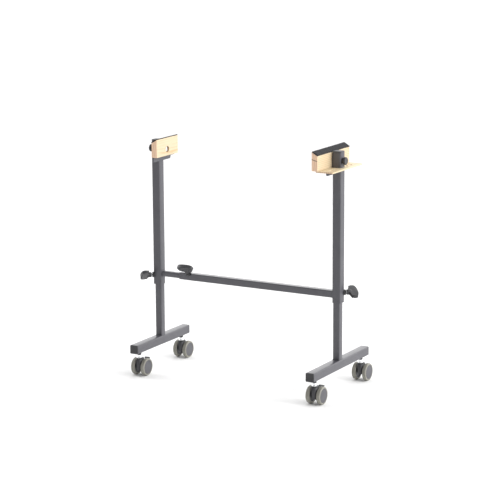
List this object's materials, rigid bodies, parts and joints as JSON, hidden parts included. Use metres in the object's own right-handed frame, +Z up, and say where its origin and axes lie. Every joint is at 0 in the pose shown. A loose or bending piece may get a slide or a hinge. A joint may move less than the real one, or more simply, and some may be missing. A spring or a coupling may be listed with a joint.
{
  "type": "xylophone stand",
  "caption": "Rolling two-leg stand for a table-top xylophone, with telescoping legs and crossbar, sloped padded wooden rests, a small side shelf and twin-wheel casters.",
  "frame": {"origin": "on the floor, half way between the axes of the two posts", "axes": "+X from the narrow (treble) leg to the wide (bass) leg, +Y to the rear, +Z up"},
  "size_m": [0.6823, 0.3435, 0.688],
  "materials": {
    "powder_coat": "satin anthracite powder coat",
    "pine": "clear satin lacquer on pine",
    "plywood": "thin birch plywood, satin",
    "felt": "dark grey felt strip",
    "black_plastic": "fine matt grain",
    "caster_plastic": "satin dark grey polyamide",
    "tread_rubber": "soft warm grey thermoplastic rubber",
    "zinc": "bright zinc plating"
  },
  "bodies": {
    "left_base": {"left_foot_tube": "powder_coat", "left_foot_front_cap": "black_plastic", "left_foot_rear_cap": "black_plastic", "left_lower_post": "powder_coat", "left_front_caster_socket": "black_plastic", "left_front_caster_stem": "zinc", "left_rear_caster_socket": "black_plastic", "left_rear_caster_stem": "zinc"},
    "left_leg_top": {"left_upper_post": "powder_coat", "left_bracket": "powder_coat", "left_rest_block": "pine", "left_rest_pad": "felt", "left_block_bolt": "zinc", "crossbar_inner_tube": "powder_coat"},
    "right_leg_top": {"right_upper_post": "powder_coat", "right_bracket": "powder_coat", "right_rest_block": "pine", "right_rest_pad": "felt", "right_block_bolt": "zinc", "right_shelf": "plywood", "crossbar_outer_tube": "powder_coat"},
    "right_base": {"right_foot_tube": "powder_coat", "right_foot_front_cap": "black_plastic", "right_foot_rear_cap": "black_plastic", "right_lower_post": "powder_coat", "right_front_caster_socket": "black_plastic", "right_front_caster_stem": "zinc", "right_rear_caster_socket": "black_plastic", "right_rear_caster_stem": "zinc"},
    "left_front_caster_fork": {"left_front_caster_housing": "caster_plastic", "left_front_caster_axle": "zinc"},
    "left_front_caster_left_wheel": {"left_front_caster_left_hub": "caster_plastic", "left_front_caster_left_tyre": "tread_rubber"},
    "left_front_caster_right_wheel": {"left_front_caster_right_hub": "caster_plastic", "left_front_caster_right_tyre": "tread_rubber"},
    "left_front_caster_brake": {"left_front_caster_brake_pedal": "caster_plastic"},
    "left_rear_caster_fork": {"left_rear_caster_housing": "caster_plastic", "left_rear_caster_axle": "zinc"},
    "left_rear_caster_left_wheel": {"left_rear_caster_left_hub": "caster_plastic", "left_rear_caster_left_tyre": "tread_rubber"},
    "left_rear_caster_right_wheel": {"left_rear_caster_right_hub": "caster_plastic", "left_rear_caster_right_tyre": "tread_rubber"},
    "right_front_caster_fork": {"right_front_caster_housing": "caster_plastic", "right_front_caster_axle": "zinc"},
    "right_front_caster_left_wheel": {"right_front_caster_left_hub": "caster_plastic", "right_front_caster_left_tyre": "tread_rubber"},
    "right_front_caster_right_wheel": {"right_front_caster_right_hub": "caster_plastic", "right_front_caster_right_tyre": "tread_rubber"},
    "right_front_caster_brake": {"right_front_caster_brake_pedal": "caster_plastic"},
    "right_rear_caster_fork": {"right_rear_caster_housing": "caster_plastic", "right_rear_caster_axle": "zinc"},
    "right_rear_caster_left_wheel": {"right_rear_caster_left_hub": "caster_plastic", "right_rear_caster_left_tyre": "tread_rubber"},
    "right_rear_caster_right_wheel": {"right_rear_caster_right_hub": "caster_plastic", "right_rear_caster_right_tyre": "tread_rubber"},
    "left_height_knob": {"left_post_wing_knob": "black_plastic"},
    "right_height_knob": {"right_post_wing_knob": "black_plastic"},
    "width_knob": {"crossbar_wing_knob": "black_plastic"},
    "left_block_clamp": {"left_block_knob": "black_plastic"},
    "right_block_clamp": {"right_block_knob": "black_plastic"}
  },
  "joints": [
    {"name": "left_height", "type": "slide", "parent": "left_base", "child": "left_leg_top", "axis": [0, 0, 1], "range_m": [-0.145, 0.152]},
    {"name": "width", "type": "slide", "parent": "left_leg_top", "child": "right_leg_top", "axis": [1, 0, 0], "range_m": [-0.055, 0.2]},
    {"name": "right_height", "type": "slide", "parent": "right_leg_top", "child": "right_base", "axis": [0, 0, 1], "range_m": [-0.152, 0.145]},
    {"name": "left_front_caster_swivel", "type": "hinge", "parent": "left_base", "child": "left_front_caster_fork", "pos_m": [-0.29, -0.1144, 0.053], "axis": [0, 0, 1], "continuous": true},
    {"name": "left_front_caster_left_wheel_spin", "type": "hinge", "parent": "left_front_caster_fork", "child": "left_front_caster_left_wheel", "pos_m": [-0.29, -0.1021, 0.025], "axis": [1, 0, 0], "continuous": true},
    {"name": "left_front_caster_right_wheel_spin", "type": "hinge", "parent": "left_front_caster_fork", "child": "left_front_caster_right_wheel", "pos_m": [-0.29, -0.1021, 0.025], "axis": [1, 0, 0], "continuous": true},
    {"name": "left_front_caster_brake_press", "type": "hinge", "parent": "left_front_caster_fork", "child": "left_front_caster_brake", "pos_m": [-0.29, -0.0929, 0.034], "axis": [1, 0, 0], "range_deg": [-12, 0]},
    {"name": "left_rear_caster_swivel", "type": "hinge", "parent": "left_base", "child": "left_rear_caster_fork", "pos_m": [-0.29, 0.1144, 0.053], "axis": [0, 0, 1], "continuous": true},
    {"name": "left_rear_caster_left_wheel_spin", "type": "hinge", "parent": "left_rear_caster_fork", "child": "left_rear_caster_left_wheel", "pos_m": [-0.29, 0.1267, 0.025], "axis": [1, 0, 0], "continuous": true},
    {"name": "left_rear_caster_right_wheel_spin", "type": "hinge", "parent": "left_rear_caster_fork", "child": "left_rear_caster_right_wheel", "pos_m": [-0.29, 0.1267, 0.025], "axis": [1, 0, 0], "continuous": true},
    {"name": "right_front_caster_swivel", "type": "hinge", "parent": "right_base", "child": "right_front_caster_fork", "pos_m": [0.29, -0.1392, 0.053], "axis": [0, 0, 1], "continuous": true},
    {"name": "right_front_caster_left_wheel_spin", "type": "hinge", "parent": "right_front_caster_fork", "child": "right_front_caster_left_wheel", "pos_m": [0.29, -0.1269, 0.025], "axis": [1, 0, 0], "continuous": true},
    {"name": "right_front_caster_right_wheel_spin", "type": "hinge", "parent": "right_front_caster_fork", "child": "right_front_caster_right_wheel", "pos_m": [0.29, -0.1269, 0.025], "axis": [1, 0, 0], "continuous": true},
    {"name": "right_front_caster_brake_press", "type": "hinge", "parent": "right_front_caster_fork", "child": "right_front_caster_brake", "pos_m": [0.29, -0.1177, 0.034], "axis": [1, 0, 0], "range_deg": [-12, 0]},
    {"name": "right_rear_caster_swivel", "type": "hinge", "parent": "right_base", "child": "right_rear_caster_fork", "pos_m": [0.29, 0.1392, 0.053], "axis": [0, 0, 1], "continuous": true},
    {"name": "right_rear_caster_left_wheel_spin", "type": "hinge", "parent": "right_rear_caster_fork", "child": "right_rear_caster_left_wheel", "pos_m": [0.29, 0.1515, 0.025], "axis": [1, 0, 0], "continuous": true},
    {"name": "right_rear_caster_right_wheel_spin", "type": "hinge", "parent": "right_rear_caster_fork", "child": "right_rear_caster_right_wheel", "pos_m": [0.29, 0.1515, 0.025], "axis": [1, 0, 0], "continuous": true},
    {"name": "left_height_knob_turn", "type": "hinge", "parent": "left_leg_top", "child": "left_height_knob", "pos_m": [-0.30739, -0.0174, 0.2756], "axis": [-0.7071, -0.7071, 0], "range_deg": [0, 720]},
    {"name": "right_height_knob_turn", "type": "hinge", "parent": "right_leg_top", "child": "right_height_knob", "pos_m": [0.30739, 0.0174, 0.2844], "axis": [0.7071, 0.7071, 0], "range_deg": [0, 720]},
    {"name": "width_knob_turn", "type": "hinge", "parent": "right_leg_top", "child": "width_knob", "pos_m": [-0.1845, -0.01626, 0.29626], "axis": [0, -0.7071, 0.7071], "range_deg": [0, 720]},
    {"name": "left_block_knob_turn", "type": "hinge", "parent": "left_leg_top", "child": "left_block_clamp", "pos_m": [-0.3028, 0, 0.6434], "axis": [-1, 0, 0], "range_deg": [0, 720]},
    {"name": "right_block_knob_turn", "type": "hinge", "parent": "right_leg_top", "child": "right_block_clamp", "pos_m": [0.3028, 0, 0.6522], "axis": [1, 0, 0], "range_deg": [0, 720]}
  ],
  "couplings": [
    {"joint": "right_height", "follows": "left_height", "ratio": -1}
  ]
}
